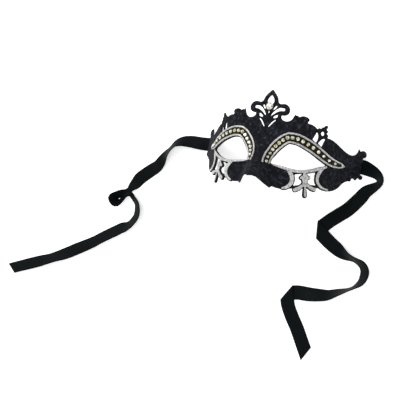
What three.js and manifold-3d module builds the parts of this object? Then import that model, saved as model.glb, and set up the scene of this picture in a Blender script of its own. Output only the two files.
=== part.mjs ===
// A venetian half mask: one thin curved plate, cut through like filigree, with silver
// lines, two rows of small cut stones, a crest stone and two ribbons. Millimetres, +Z up.
// The mask lies face up on z = 0, the crest towards +Y. Its flat pattern has "across",
// measured along the curve from the middle, and "up", measured from the eye corners.
// The right half is drawn and the left half is its mirror image.
import * as THREE from "three";
import { mergeVertices } from "three/addons/utils/BufferGeometryUtils.js";
import Module from "manifold-3d";

const wasm = await Module();
wasm.setup();

// Curve of the plate from side to side
const FRONT_RADIUS = 120;   // the gentle curve over the middle
const FRONT_REACH = 25;     // how far that curve goes to each side
const SIDE_RADIUS = 57;     // the tighter curve over the cheekbone
const SIDE_REACH = 69;      // where the side starts to run straight back
const SPREAD = 120;         // middle to temple edge, along the curve
const PLATE = 2;            // thickness of the plate
const FOOT = 0.8;           // what is trimmed flat off the two temple edges

// Nose
const NOSE_RISE = 26;       // how far the ridge stands out at its lower end
const NOSE_TOP = 29.5;      // where the ridge starts, above the eye corners
const NOSE_BOTTOM = 16;     // where it ends, below them
const NOSE_BRIDGE = 11;     // half width at the top
const NOSE_WING = 19;       // half width at the lower end

// Heights and depths of the pattern
const CREST_SEAT = 43;      // from here the crest stands up
const CREST_TALL = 30;
const CREST_REACH = 21.5;   // half width of the crest
const HORN_UP = 52;         // the first horn of the top edge
const CHEEK_DEEP = 24;      // the lowest corner beside the nose

// Eye and brow
const EYE_IN = 12.3;        // inner corner
const EYE_WIDE = 57.3;      // inner to outer corner
const BROW_RISE = 28.1;     // top of the row of stones
const BED_HALF = 3.2;       // half width of the stone bed at its widest
const BED_THICK = 0.6;
const TRIM_WIDE = 1.8;      // the silver line round the bed
const TRIM_THICK = 1.0;
const BLACK_EDGE = 0.9;     // plate that shows between the silver line and the eye
const LID_WIDE = 2.7;       // silver line under the eye
const SILVER_THICK = 0.9;
const SILVER_INSET = 1;     // plate that shows round the silver scrolls

// Pendant ornament under the eye
const PENDANT_LONG = 25.6;
const PENDANT_LEAN = 11.7;  // degrees outwards from straight down
const PENDANT_ACROSS = 46.5;
const PENDANT_UP = -2.6;
const DROP_DOWN = 0.885;    // its lowest drop, as shares of its length: the place,
const DROP_HALF = 0.045;    // the half width of the silver
const DROP_EDGE = 0.064;    // and the plate that shows round it

// Stones
const STONE_COUNT = 17;     // in each brow
const STONE_WIDE = 3.7;
const STONE_SMALL = 3;      // the three at each end of a row
const STONE_ENDS = 3;
const STONE_TALL = 1.5;
const STONE_FACETS = 8;
const TABLE = 0.55;         // width of a stone's flat top as a share of its width
const ROW_START = 0.016;    // first and last stone, as shares of the brow line's length
const ROW_END = 0.905;
const SPACING_OUT = 0.9;    // by how much more the last two are apart than the first two
const CREST_STONE_WIDE = 7.4;
const CREST_STONE_TALL = 2.6;
const CREST_STONE_UP = 56;

// Ribbons
const RIBBON_WIDE = 15;
const RIBBON_THICK = 1;
const RIBBON_UP = 17;       // height on the temple at which the ribbon is glued
const RIBBON_TAIL = 18;     // length that is glued behind the temple
const RIBBON_ROOM = 1;      // how much wider than the ribbon its recess is
const RECESS = 4;           // how far the temple edge steps back over the ribbon

const GAP = 0.3;            // between pieces that lie on each other
const UP = new THREE.Vector3(0, 0, 1);

const COLOURS = {
  plate: { color: 0x1d1f24, roughness: 0.9, metalness: 0 },
  silver: { color: 0xc9c9c6, roughness: 0.45, metalness: 0.5 },
  bed: { color: 0x3a3510, roughness: 0.6, metalness: 0.2 },
  stone: { color: 0xf1efdc, roughness: 0.08, metalness: 0 },
  ribbon: { color: 0x0a0f12, roughness: 0.6, metalness: 0 },
};

// Top of the crest and the lowest drop, from which the middle of the mask follows
const CREST_TIP = CREST_SEAT + CREST_TALL;
const leanAngle = THREE.MathUtils.degToRad(PENDANT_LEAN);
const DROP_CENTRE = PENDANT_UP - DROP_DOWN * PENDANT_LONG * Math.cos(leanAngle);
const DROP_TIP = DROP_CENTRE - (DROP_HALF + DROP_EDGE) * PENDANT_LONG;
const MIDDLE = (CREST_TIP + DROP_TIP) / 2;

// The plate's outer surface without the nose, as a height and a slope
function profile(across) {
  const a = Math.abs(across);
  const front = Math.min(a, FRONT_REACH) / FRONT_RADIUS;
  const side = THREE.MathUtils.clamp(a - FRONT_REACH, 0, SIDE_REACH - FRONT_REACH) / SIDE_RADIUS;
  const slope = front + side;
  const straight = Math.max(a - SIDE_REACH, 0);
  let x = FRONT_RADIUS * Math.sin(front);
  let z = FRONT_RADIUS * (Math.cos(front) - 1);
  x += SIDE_RADIUS * (Math.sin(slope) - Math.sin(front)) + straight * Math.cos(slope);
  z += SIDE_RADIUS * (Math.cos(slope) - Math.cos(front)) - straight * Math.sin(slope);
  return { x: Math.sign(across) * x, z, slope: Math.sign(across) * slope };
}

function noseRise(across, up) {
  const share = THREE.MathUtils.clamp((NOSE_TOP - up) / (NOSE_TOP + NOSE_BOTTOM), 0, 1.2);
  const half = THREE.MathUtils.lerp(NOSE_BRIDGE, NOSE_WING, share);
  const a = Math.min(Math.abs(across) / half, 1);
  return NOSE_RISE * share ** 2 * 0.5 * (1 + Math.cos(Math.PI * a));
}

const temple = profile(SPREAD);
const FLOOR = temple.z - PLATE * Math.cos(temple.slope) + FOOT;

function skin(across, up) {
  const { x, z, slope } = profile(across);
  const rise = noseRise(across, up);
  return new THREE.Vector3(x + rise * Math.sin(slope), up - MIDDLE, z - FLOOR + rise * Math.cos(slope));
}

// The point "out" millimetres off the outer surface, and the surface's normal there
const PROBE = 0.05;
function normalAt(across, up) {
  const du = skin(across + PROBE, up).sub(skin(across - PROBE, up));
  const dv = skin(across, up + PROBE).sub(skin(across, up - PROBE));
  return du.cross(dv).normalize();
}
function place(across, up, out) {
  return skin(across, up).addScaledVector(normalAt(across, up), out);
}

// Curves of the flat pattern and the spacing of their points
const OUTLINE_STEP = 3.1;
const LINE_STEP = 3.3;
const BROW_STEP = 4.4;
const EYE_STEP = 3;
// A table's rows are shares of a width and a height.
function sized(rows, wide, tall, x = 0, y = 0) {
  return rows.map(([across, up, ...rest]) => [x + across * wide, y + up * tall, ...rest]);
}

function splineOf(points) {
  return new THREE.CatmullRomCurve3(points, false, "centripetal");
}

// A smooth line through rows, broken where a row's third value is "corner"
function smoothLine(rows, spacing = OUTLINE_STEP) {
  const line = [[rows[0][0], rows[0][1]]];
  let run = [rows[0]];
  for (const row of rows.slice(1)) {
    run.push(row);
    if (row[2] !== "corner" && row !== rows.at(-1)) continue;
    const curve = splineOf(run.map(([x, y]) => new THREE.Vector3(x, y, 0)));
    const steps = run.length === 2 ? 1 : Math.max(run.length, Math.round(curve.getLength() / spacing));
    line.push(...curve.getSpacedPoints(steps).slice(1).map((p) => [p.x, p.y]));
    run = [row];
  }
  return line;
}

// A line through rows of across, up and one or two widths, which it carries along
function wideLine(rows, step = LINE_STEP) {
  const path = splineOf(rows.map(([x, y]) => new THREE.Vector3(x, y, 0)));
  const widths = new THREE.CatmullRomCurve3(
    rows.map(([, , first, second = 0]) => new THREE.Vector3(first, second, 0)), false, "catmullrom");
  const length = path.getLength();
  const at = (share) => {
    const t = path.getUtoTmapping(share);
    const point = path.getPoint(t);
    const along = path.getTangent(t);
    const width = widths.getPoint(t);
    return { x: point.x, y: point.y, left: [-along.y, along.x], first: width.x, second: width.y };
  };
  // Points that lie beside the line, on its left (side 1) or its right (side -1)
  const beside = (side, reach, from = 0, to = 1, spacing = step) => {
    const steps = Math.max(3, Math.round((length * (to - from)) / spacing));
    return Array.from({ length: steps + 1 }, (_, i) => {
      const p = at(from + ((to - from) * i) / steps);
      const away = side * reach(p);
      return [p.x + p.left[0] * away, p.y + p.left[1] * away];
    });
  };
  return { length, at, beside };
}

const CAP_STEPS = 4;
function roundEnd(from, to) {
  const x = (from[0] + to[0]) / 2;
  const y = (from[1] + to[1]) / 2;
  const radius = Math.hypot(from[0] - x, from[1] - y);
  const start = Math.atan2(from[1] - y, from[0] - x);
  return Array.from({ length: CAP_STEPS - 1 }, (_, k) => {
    const angle = start - (Math.PI * (k + 1)) / CAP_STEPS;
    return [x + radius * Math.cos(angle), y + radius * Math.sin(angle)];
  });
}

// A limb with round ends through rows of across, up, half width and edge. Its silver has the
// half width alone, and the plate under it the edge too.
function limb(rows, withEdge = false) {
  const line = wideLine(rows);
  const reach = (p) => p.first + (withEdge ? p.second : 0);
  const left = line.beside(1, reach);
  const right = line.beside(-1, reach).reverse();
  return [...left, ...roundEnd(left.at(-1), right[0]), ...right, ...roundEnd(right.at(-1), left[0])];
}

function disc(x, y, radius) {
  return [...roundEnd([x - radius, y], [x + radius, y]), [x + radius, y],
    ...roundEnd([x + radius, y], [x - radius, y]), [x - radius, y]];
}

// Flat prisms and solids
function geometryOf(solid) {
  const mesh = solid.getMesh();
  const geometry = new THREE.BufferGeometry();
  geometry.setAttribute("position", new THREE.BufferAttribute(new Float32Array(mesh.vertProperties), 3));
  geometry.setIndex(new THREE.BufferAttribute(new Uint32Array(mesh.triVerts), 1));
  return geometry;
}

function solidOf(geometry) {
  const bare = geometry.clone();
  bare.deleteAttribute("normal");
  bare.deleteAttribute("uv");
  const merged = mergeVertices(bare, 1e-4);
  return new wasm.Manifold(new wasm.Mesh({
    numProp: 3,
    vertProperties: merged.attributes.position.array,
    triVerts: merged.index.array,
  }));
}

function prism(outline, thick, bottom = 0) {
  const shape = new THREE.Shape(outline.map(([x, y]) => new THREE.Vector2(x, y)));
  const geometry = new THREE.ExtrudeGeometry(shape, { depth: thick, bevelEnabled: false, steps: 1 });
  geometry.translate(0, 0, bottom);
  return solidOf(geometry);
}

function mirrored(outline) {
  return outline.map(([x, y]) => [-x, y]).reverse();
}

function joined(solids) {
  return solids.reduce((whole, piece) => whole.add(piece));
}

// A flat solid is divided along lattice lines, so that it can follow the curved surface
const NOSE_STEP = 2.4;
const SIDE_STEP = 8.8;
const ROW_STEP = 7;
const FAR = 200;
function evenSteps(from, to, step) {
  const count = Math.round((to - from) / step);
  const tenths = (value) => Math.round(value * 10) / 10;
  return Array.from({ length: count + 1 }, (_, i) => tenths(from + ((to - from) * i) / count));
}
const sideLines = [
  ...evenSteps(NOSE_STEP, NOSE_WING + GAP, NOSE_STEP),
  ...evenSteps(FRONT_REACH, SIDE_REACH, SIDE_STEP),
];
const lines = [
  [...sideLines.map((x) => -x).reverse(), 0, ...sideLines],
  evenSteps(-NOSE_BOTTOM, NOSE_TOP, ROW_STEP),
];

function boxBetween(lowX, highX, lowY, highY) {
  const box = new THREE.BoxGeometry(highX - lowX, highY - lowY, FAR);
  return solidOf(box.translate((lowX + highX) / 2, (lowY + highY) / 2, 0));
}

// Columns from side to side, of which those of the nose are cut into rows too
function cellsOf(solid) {
  const [columns, rows] = lines.map((inner) => [-FAR, ...inner, FAR]);
  return columns.slice(1).flatMap((high, c) => {
    const strip = solid.intersect(boxBetween(columns[c], high, -FAR, FAR));
    if (strip.isEmpty()) return [];
    if (Math.max(high, -columns[c]) > NOSE_WING + NOSE_STEP) return [strip];
    return rows.slice(1).map((top, r) => strip.intersect(boxBetween(-FAR, FAR, rows[r], top)));
  });
}

const WELD = 1000;          // corners are matched to a thousandth of a millimetre
const onLine = (axis, value) => lines[axis].some((line) => Math.abs(value - line) * WELD < 1);

// The cells' outer faces as one list, with equal corners matched
function facesOf(cells) {
  const points = [];
  const seen = new Map();
  const welded = (point) => {
    const [i, j, k] = point.map((value) => Math.round(value * WELD));
    for (const near of [0, -1, 1].flatMap((di) => [0, -1, 1].map((dj) => `${i + di} ${j + dj} ${k}`))) {
      if (seen.has(near)) return seen.get(near);
    }
    seen.set(`${i} ${j} ${k}`, points.length);
    return points.push(point) - 1;
  };
  const faces = [];
  for (const cell of cells) {
    const { vertProperties: at, triVerts } = cell.getMesh();
    for (let f = 0; f < triVerts.length; f += 3) {
      const corners = [...triVerts.slice(f, f + 3)].map((i) => [...at.slice(3 * i, 3 * i + 3)]);
      const inner = [0, 1].some((axis) => corners.every((corner) => onLine(axis, corner[axis])
        && Math.abs(corner[axis] - corners[0][axis]) * WELD < 1));
      const face = corners.map(welded);
      if (!inner && new Set(face).size === 3) faces.push(face);
    }
  }
  return { points, faces };
}

// Corners that lie on a lattice line, gathered line by line and level by level
function latticed(solid) {
  const { points, faces } = facesOf(cellsOf(solid));
  const keyOf = (axis, point) => (
    [axis, point[axis], point[2]].map((value) => Math.round(value * WELD)).join(" "));
  const beads = new Map();
  points.forEach((point, i) => [0, 1].filter((axis) => onLine(axis, point[axis])).forEach((axis) => {
    beads.set(keyOf(axis, point), [...(beads.get(keyOf(axis, point)) ?? []), i]);
  }));
  const beadBetween = (a, b) => {
    for (const axis of [0, 1]) {
      const key = keyOf(axis, points[a]);
      if (!beads.has(key) || key !== keyOf(axis, points[b])) continue;
      const [low, high] = [points[a][1 - axis], points[b][1 - axis]].sort((p, q) => p - q);
      const between = (i) => points[i][1 - axis] > low && points[i][1 - axis] < high;
      const found = beads.get(key).find((i) => i !== a && i !== b && between(i));
      if (found !== undefined) return found;
    }
    return -1;
  };
  // An edge that passes a corner of its neighbour is split there
  const whole = [];
  while (faces.length > 0) {
    const face = faces.pop();
    const k = [0, 1, 2].find((n) => beadBetween(face[n], face[(n + 1) % 3]) >= 0);
    if (k === undefined) {
      whole.push(face);
      continue;
    }
    const [a, b, c] = [face[k], face[(k + 1) % 3], face[(k + 2) % 3]];
    const bead = beadBetween(a, b);
    faces.push([a, bead, c], [bead, b, c]);
  }
  const geometry = new THREE.BufferGeometry();
  geometry.setAttribute("position", new THREE.Float32BufferAttribute(points.flat(), 3));
  geometry.setIndex(whole.flat());
  return geometry;
}

// A flat solid laid on the curved surface, its bottom at "out" from the outer face
function laidOn(solid, out) {
  const geometry = latticed(solid);
  const position = geometry.attributes.position;
  for (let i = 0; i < position.count; i += 1) {
    const point = place(position.getX(i), position.getY(i), out + position.getZ(i));
    position.setXYZ(i, point.x, point.y, point.z);
  }
  return geometry;
}

// Brow: the line of the stones. Columns: across and up, shares of the eye's width and the
// brow's rise; half width of the bed and width of the silver line, shares of the widest
const BROW_ROWS = [
  [-0.072, -0.030, 0.53, 0.67],
  [-0.070, 0.200, 0.66, 0.80],
  [-0.047, 0.335, 0.78, 0.90],
  [0.030, 0.633, 0.94, 1.00],
  [0.199, 0.975, 1.00, 1.00],
  [0.290, 1.000, 1.00, 1.00],
  [0.382, 0.989, 1.00, 1.00],
  [0.569, 0.868, 0.98, 1.00],
  [0.665, 0.794, 0.97, 1.00],
  [0.890, 0.587, 0.85, 1.00],
  [1.031, 0.488, 0.75, 1.00],
  [1.180, 0.440, 0.58, 0.95],
  [1.320, 0.437, 0.28, 0.75],
];
const EYE_START = 0.01;     // shares of the line's length at which it passes the eye's corners
const OUTER_CORNER = 0.831;
const brow = wideLine(BROW_ROWS.map(([across, up, bed, trim]) => [
  EYE_IN + across * EYE_WIDE, up * BROW_RISE, bed * BED_HALF, trim * TRIM_WIDE]), BROW_STEP);
const bedEdge = (p) => p.first;
const trimInside = (p) => p.first + GAP;
const trimOutside = (p) => p.first + GAP + p.second;
const eyelid = (p) => trimOutside(p) + BLACK_EDGE;

// Eye: the upper edge runs beside the brow, the lower edge through these rows
const LOWER_LID = [
  [0.091, -0.004],
  [0.215, -0.016],
  [0.321, -0.045],
  [0.426, -0.056],
  [0.562, -0.018],
  [0.700, 0.066],
  [0.824, 0.177],
];
const upperLid = brow.beside(-1, eyelid, EYE_START, OUTER_CORNER, EYE_STEP);
const eyeCorner = upperLid.at(-1);
const eyeInner = upperLid[0];
const lowerRows = sized(LOWER_LID, EYE_WIDE, BROW_RISE, EYE_IN, 0);
const lowerLid = smoothLine([eyeCorner, ...lowerRows.toReversed(), eyeInner]).slice(1, -1);
const eyeOutline = [...upperLid, ...lowerLid];

// Silver lines under the eye. Columns: across, up, half width as a share of the widest
const lidHalf = LID_WIDE / 2;
const LID_SHARES = [0.42, 0.62, 0.9, 1, 1, 1, 1, 1, 0.85, 0.5];
const lidRows = [eyeInner, ...lowerRows, eyeCorner].map(([x, y], i, all) => {
  const own = lidHalf * LID_SHARES[i];
  const inwards = (i === 0 ? lidHalf : 0) - (i === all.length - 1 ? lidHalf : 0);
  return [x + inwards, y - own - GAP, own, SILVER_INSET];
});
const SCROLL_WIDE = 2.1;    // half width of a scroll at its widest
const scrollRows = (rows) => sized(rows, EYE_WIDE, BROW_RISE, EYE_IN).map(
  ([x, y, share]) => [x, y, share * SCROLL_WIDE, SILVER_INSET]);
const INNER_SCROLL = scrollRows([
  [0.309, -0.110, 0.72],
  [0.376, -0.262, 0.98],
  [0.408, -0.420, 1.00],
  [0.396, -0.566, 0.92],
  [0.348, -0.700, 0.74],
  [0.272, -0.778, 0.50],
]);
const OUTER_SCROLL = scrollRows([
  [0.916, 0.175, 0.55],
  [0.862, 0.020, 0.80],
  [0.836, -0.164, 0.74],
  [0.857, -0.335, 0.67],
  [0.918, -0.446, 0.58],
  [1.003, -0.503, 0.48],
  [1.105, -0.512, 0.38],
]);

// Pendant: limbs in its own upright frame, whose right-hand ones have a mirror image.
// Columns: to the side, down, half width and edge, all shares of its length
const THIN_EDGE = SILVER_INSET / PENDANT_LONG;
const STEM = [
  [0, -0.02, 0.030, THIN_EDGE],
  [0, 0.06, 0.034, THIN_EDGE],
  [0, 0.13, 0.105, THIN_EDGE],
  [0, 0.20, 0.135, THIN_EDGE],
  [0, 0.28, 0.100, THIN_EDGE],
  [0, 0.36, 0.088, THIN_EDGE],
  [0, 0.46, 0.098, THIN_EDGE],
];
const DROP = [
  [0, 0.44, 0.040, THIN_EDGE],
  [0, 0.58, 0.030, THIN_EDGE],
  [0, 0.74, 0.040, 0.050],
  [0, DROP_DOWN, DROP_HALF, DROP_EDGE],
];
const CURL = [
  [0.01, 0.19, 0.062, THIN_EDGE],
  [0.08, 0.182, 0.060, THIN_EDGE],
  [0.150, 0.206, 0.050, THIN_EDGE],
];
const LEAF = [
  [0.03, 0.440, 0.055, THIN_EDGE],
  [0.10, 0.492, 0.050, THIN_EDGE],
  [0.208, 0.573, 0.058, THIN_EDGE],
  [0.305, 0.631, 0.076, THIN_EDGE],
  [0.395, 0.655, 0.070, THIN_EDGE],
];
// Plate without silver, from each leaf to the scroll beside it
const BRIDGE = [
  [0.240, 0.515, 0.038, 0],
  [0.400, 0.530, 0.038, 0],
  [0.570, 0.572, 0.042, 0],
];
function pendantRows(rows, side) {
  const cos = Math.cos(leanAngle);
  const sin = Math.sin(leanAngle);
  return rows.map((row) => {
    const [x, down, wide, edge] = row.map((share) => share * PENDANT_LONG);
    const across = PENDANT_ACROSS + side * x * cos + down * sin;
    return [across, PENDANT_UP + side * x * sin - down * cos, wide, edge];
  });
}
const onBothSides = (rows) => [pendantRows(rows, 1), pendantRows(rows, -1)];
const silverLimbs = [
  lidRows,
  INNER_SCROLL,
  OUTER_SCROLL,
  pendantRows(STEM, 1),
  pendantRows(DROP, 1),
  ...onBothSides(CURL),
  ...onBothSides(LEAF),
];

// Outline of the right half of the plate, from the tip of the crest to the nose
const crestEdge = sized([
  [0.000, 1.000, "corner"],
  [0.093, 0.940],
  [0.163, 0.880],
  [0.256, 0.807],
  [0.330, 0.713],
  [0.365, 0.627],
  [0.391, 0.577, "corner"],
  [0.465, 0.550],
  [0.591, 0.563],
  [0.740, 0.573],
  [0.870, 0.523],
  [0.958, 0.447],
  [0.986, 0.353],
  [0.949, 0.263],
  [0.856, 0.207],
  [0.744, 0.182],
  [0.623, 0.187, "corner"],
], CREST_REACH, CREST_TALL, 0, CREST_SEAT);
// From the pocket beside the crest to the temple. Columns: across as a share of SPREAD, up as
// a share of HORN_UP
const topEdge = sized([
  [0.1110, 0.902],
  [0.1220, 0.862],
  [0.1470, 0.835],
  [0.1720, 0.837],
  [0.1950, 0.865],
  [0.2110, 0.919],
  [0.2185, 0.970],
  [0.2235, 1.000, "corner"],
  [0.2320, 0.968],
  [0.2480, 0.982, "corner"],
  [0.2560, 0.948, "corner"],
  [0.2710, 0.969],
  [0.2940, 0.987],
  [0.3150, 0.983],
  [0.3360, 0.965],
  [0.3490, 0.935],
  [0.3475, 0.910],
  [0.3370, 0.890, "corner"],
  [0.3410, 0.863, "corner"],
  [0.3600, 0.864],
  [0.3800, 0.857],
  [0.4010, 0.838],
  [0.4200, 0.814],
  [0.4310, 0.796, "corner"],
  [0.4370, 0.822],
  [0.4450, 0.833],
  [0.4540, 0.825],
  [0.4590, 0.808, "corner"],
  [0.4660, 0.845],
  [0.4740, 0.866],
  [0.4820, 0.842, "corner"],
  [0.4890, 0.880],
  [0.4990, 0.904],
  [0.5120, 0.910],
  [0.5220, 0.888],
  [0.5190, 0.858],
  [0.5090, 0.827, "corner"],
  [0.5220, 0.816],
  [0.5290, 0.797],
  [0.5250, 0.775],
  [0.5150, 0.757, "corner"],
  [0.5300, 0.743],
  [0.5375, 0.722],
  [0.5345, 0.699],
  [0.5320, 0.681, "corner"],
  [0.5600, 0.680],
  [0.5950, 0.667],
  [0.6350, 0.638],
  [0.6750, 0.600],
  [0.7190, 0.556],
  [0.7800, 0.506],
  [0.8190, 0.490],
  [0.8530, 0.498],
  [0.8860, 0.538],
  [0.9020, 0.594],
  [0.9070, 0.656, "corner"],
  [0.9150, 0.626],
], SPREAD, HORN_UP);
// The temple's top above the ribbon. Columns: across as a share of SPREAD, up from the
// ribbon's middle as a share of its width
const templeEdge = sized([
  [0.928, 0.967, "corner"],
  [0.945, 1.060],
  [0.970, 1.093],
  [0.991, 1.000],
  [1.000, 0.840, "corner"],
], SPREAD, RIBBON_WIDE, 0, RIBBON_UP);
const RECESS_HALF = RIBBON_WIDE / 2 + RIBBON_ROOM;
const recessEdge = [
  [SPREAD, RIBBON_UP + RECESS_HALF + RECESS / 2, "corner"],
  [SPREAD - RECESS, RIBBON_UP + RECESS_HALF, "corner"],
  [SPREAD - RECESS, RIBBON_UP - RECESS_HALF, "corner"],
  [SPREAD, RIBBON_UP - RECESS_HALF - RECESS / 4, "corner"],
];
const bottomEdge = sized([
  [0.9990, 0.230],
  [0.9920, 0.165],
  [0.9720, 0.150],
  [0.9500, 0.230, "corner"],
  [0.9330, 0.120],
  [0.9250, 0.070, "corner"],
  [0.8960, 0.130],
  [0.8770, 0.120],
  [0.8700, -0.025, "corner"],
  [0.8410, -0.037],
  [0.8100, -0.108],
  [0.7810, -0.221],
  [0.7550, -0.383],
  [0.7260, -0.504],
  [0.6870, -0.604],
  [0.6440, -0.658],
  [0.6000, -0.675],
  [0.5600, -0.640, "corner"],
], SPREAD, CHEEK_DEEP);
const cheekEdge = sized([
  [0.2330, -0.960, "corner"],
  [0.1820, -0.946],
  [0.1560, -0.921],
  [0.1480, -0.904, "corner"],
  [0.1375, -0.985, "corner"],
  [0.1030, -0.867],
  [0.0730, -0.742],
  [0.0480, -0.650],
  [0.0250, -0.630],
  [0.0000, -0.655],
], SPREAD, CHEEK_DEEP);
const plainRow = ([x, y]) => [x, y, "corner"];
const rightEdge = smoothLine([
  ...crestEdge,
  ...topEdge,
  ...templeEdge,
  ...recessEdge,
  ...bottomEdge,
  ...OUTER_SCROLL.slice(1, 4).toReversed().map(plainRow),
  ...INNER_SCROLL.slice(1).map(plainRow),
  ...cheekEdge,
]);
const plateOutline = [...rightEdge, ...mirrored(rightEdge).slice(1, -1)];

// Openings of the crest, shares of its reach and height. A slit is a limb that is cut out:
// its third column is the half width in shares of the crest's reach.
const teardrop = sized([
  [0, 0.812, "corner"], [0.093, 0.743], [0.149, 0.670], [0.165, 0.593], [0.126, 0.530, "corner"],
  [-0.126, 0.530, "corner"], [-0.165, 0.593], [-0.149, 0.670], [-0.093, 0.743], [0, 0.812],
], CREST_REACH, CREST_TALL, 0, CREST_SEAT);
const underArm = sized([
  [0.465, 0.172, "corner"], [0.437, 0.088, "corner"], [0.350, 0.066], [0.226, 0.058, "corner"],
  [0.295, 0.130], [0.414, 0.182, "corner"], [0.465, 0.172],
], CREST_REACH, CREST_TALL, 0, CREST_SEAT);
const slit = (rows) => limb(sized(rows, CREST_REACH, CREST_TALL, 0, CREST_SEAT).map(
  ([x, y, share]) => [x, y, share * CREST_REACH]));
const tinySlit = slit([[0, 0.270, 0.024], [0, 0.240, 0.028], [0, 0.205, 0.020]]);
const armSlit = slit([
  [0.684, 0.377, 0.064],
  [0.563, 0.382, 0.072],
  [0.437, 0.348, 0.073],
  [0.316, 0.284, 0.056],
  [0.214, 0.207, 0.038],
  [0.135, 0.137, 0.020],
]);
const shortSlit = slit([[0.316, 0.453, 0.036], [0.260, 0.397, 0.040], [0.205, 0.340, 0.022]]);
const lowSlit = slit([
  [0.390, 0.005, 0.022],
  [0.293, -0.058, 0.032],
  [0.195, -0.150, 0.032],
  [0.102, -0.247, 0.020],
]);

// Openings of the ornament on the top edge, shares of SPREAD and HORN_UP
const innerCrescent = sized([
  [0.4290, 0.752, "corner"], [0.4375, 0.731], [0.4470, 0.688], [0.4500, 0.642], [0.4467, 0.592],
  [0.4367, 0.542, "corner"], [0.4190, 0.567], [0.4015, 0.587, "corner"], [0.4110, 0.642],
  [0.4200, 0.689], [0.4290, 0.752],
], SPREAD, HORN_UP);
const outerCrescent = sized([
  [0.4530, 0.542, "corner"], [0.4640, 0.571], [0.4770, 0.614], [0.4930, 0.640], [0.5130, 0.650],
  [0.5215, 0.644, "corner"], [0.5140, 0.617], [0.5050, 0.560], [0.4980, 0.502],
  [0.4915, 0.486, "corner"], [0.4770, 0.510], [0.4530, 0.542],
], SPREAD, HORN_UP);
const ORNAMENT_HOLE = 2.15; // radius
const ornamentHole = disc(0.4825 * SPREAD, 0.7375 * HORN_UP, ORNAMENT_HOLE);
const closedLine = (rows) => smoothLine(rows).slice(0, -1);
const sideHoles = [
  armSlit,
  shortSlit,
  lowSlit,
  closedLine(underArm),
  closedLine(innerCrescent),
  closedLine(outerCrescent),
  ornamentHole,
];

const CUT_DEEPER = 1;
const bothSides = (outlines) => outlines.flatMap((outline) => [outline, mirrored(outline)]);

function makePlate() {
  const limbs = bothSides([...silverLimbs, ...onBothSides(BRIDGE)].map((rows) => limb(rows, true)));
  const holes = [closedLine(teardrop), tinySlit, ...bothSides([...sideHoles, eyeOutline])];
  const full = joined([plateOutline, ...limbs].map((outline) => prism(outline, PLATE)));
  const cut = joined(holes.map((outline) => prism(outline, PLATE + 2 * CUT_DEEPER, -CUT_DEEPER)));
  const curved = solidOf(laidOn(full.subtract(cut), -PLATE));
  // The two temple edges are trimmed flat, so that the mask rests on them
  const ground = new THREE.BoxGeometry(4 * SPREAD, 4 * SPREAD, SPREAD);
  ground.translate(0, 0, -SPREAD / 2);
  return geometryOf(curved.subtract(solidOf(ground)));
}

function makeBed(side) {
  const outline = [...brow.beside(1, bedEdge), ...brow.beside(-1, bedEdge).reverse()];
  return laidOn(prism(side > 0 ? outline : mirrored(outline), BED_THICK), GAP);
}

// The silver line runs up one side of the bed, round its pointed end and back
function makeTrim(side) {
  const outer = brow.beside(1, trimOutside);
  const inner = brow.beside(-1, trimOutside);
  const end = brow.at(1);
  const reach = trimOutside(end) * 2;
  const tip = [end.x + end.left[1] * reach, end.y - end.left[0] * reach];
  const outline = [...outer, tip, ...inner.reverse()];
  const hollowEnd = [end.x + end.left[1] * GAP, end.y - end.left[0] * GAP];
  const bedRoom = [...brow.beside(1, trimInside), hollowEnd, ...brow.beside(-1, trimInside).reverse()];
  // The hollow runs past the end beside the nose, where the line is open
  const start = brow.at(0);
  const past = [start.x - start.left[1] * TRIM_WIDE, start.y + start.left[0] * TRIM_WIDE];
  const half = trimInside(start);
  bedRoom.push([past[0] - start.left[0] * half, past[1] - start.left[1] * half]);
  bedRoom.push([past[0] + start.left[0] * half, past[1] + start.left[1] * half]);
  const hollow = prism(bedRoom, TRIM_THICK + 2 * CUT_DEEPER, -CUT_DEEPER);
  const ring = prism(outline, TRIM_THICK).subtract(hollow);
  const flat = side > 0 ? ring : ring.mirror([1, 0, 0]);
  return laidOn(flat, GAP);
}

function makeSilver(side) {
  const outlines = silverLimbs.map((rows) => limb(rows));
  const lids = [
    ...brow.beside(-1, trimOutside, 0, OUTER_CORNER, EYE_STEP),
    ...lowerLid.map(([x, y]) => [x, y - GAP]),
  ];
  const solids = outlines.map((outline) => prism(side > 0 ? outline : mirrored(outline), SILVER_THICK));
  const eye = prism(side > 0 ? lids : mirrored(lids), SILVER_THICK + 2 * CUT_DEEPER, -CUT_DEEPER);
  return laidOn(joined(solids).subtract(eye), GAP);
}

// A cut stone with a flat back, a table and facets from the girdle up
function makeStone(wide, tall, facets) {
  const radius = wide / 2;
  const profileRows = [[0, 0], [radius, 0], [radius * TABLE, tall], [0, tall]];
  const stone = new THREE.LatheGeometry(profileRows.map(([x, y]) => new THREE.Vector2(x, y)), facets);
  return stone.rotateX(Math.PI / 2);
}

function stoneAt(geometry, across, up, out) {
  geometry.applyQuaternion(new THREE.Quaternion().setFromUnitVectors(UP, normalAt(across, up)));
  const base = place(across, up, out);
  return geometry.translate(base.x, base.y, base.z);
}

// Shares of the brow line's length at which its stones lie, further apart towards the temple
function stoneShares() {
  const gaps = STONE_COUNT - 1;
  const pitches = Array.from({ length: gaps }, (_, i) => 1 + SPACING_OUT * (i / (gaps - 1)) ** 3);
  const whole = pitches.reduce((sum, pitch) => sum + pitch);
  return Array.from({ length: STONE_COUNT }, (_, i) => {
    const passed = pitches.slice(0, i).reduce((sum, pitch) => sum + pitch, 0);
    return ROW_START + ((ROW_END - ROW_START) * passed) / whole;
  });
}

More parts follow.
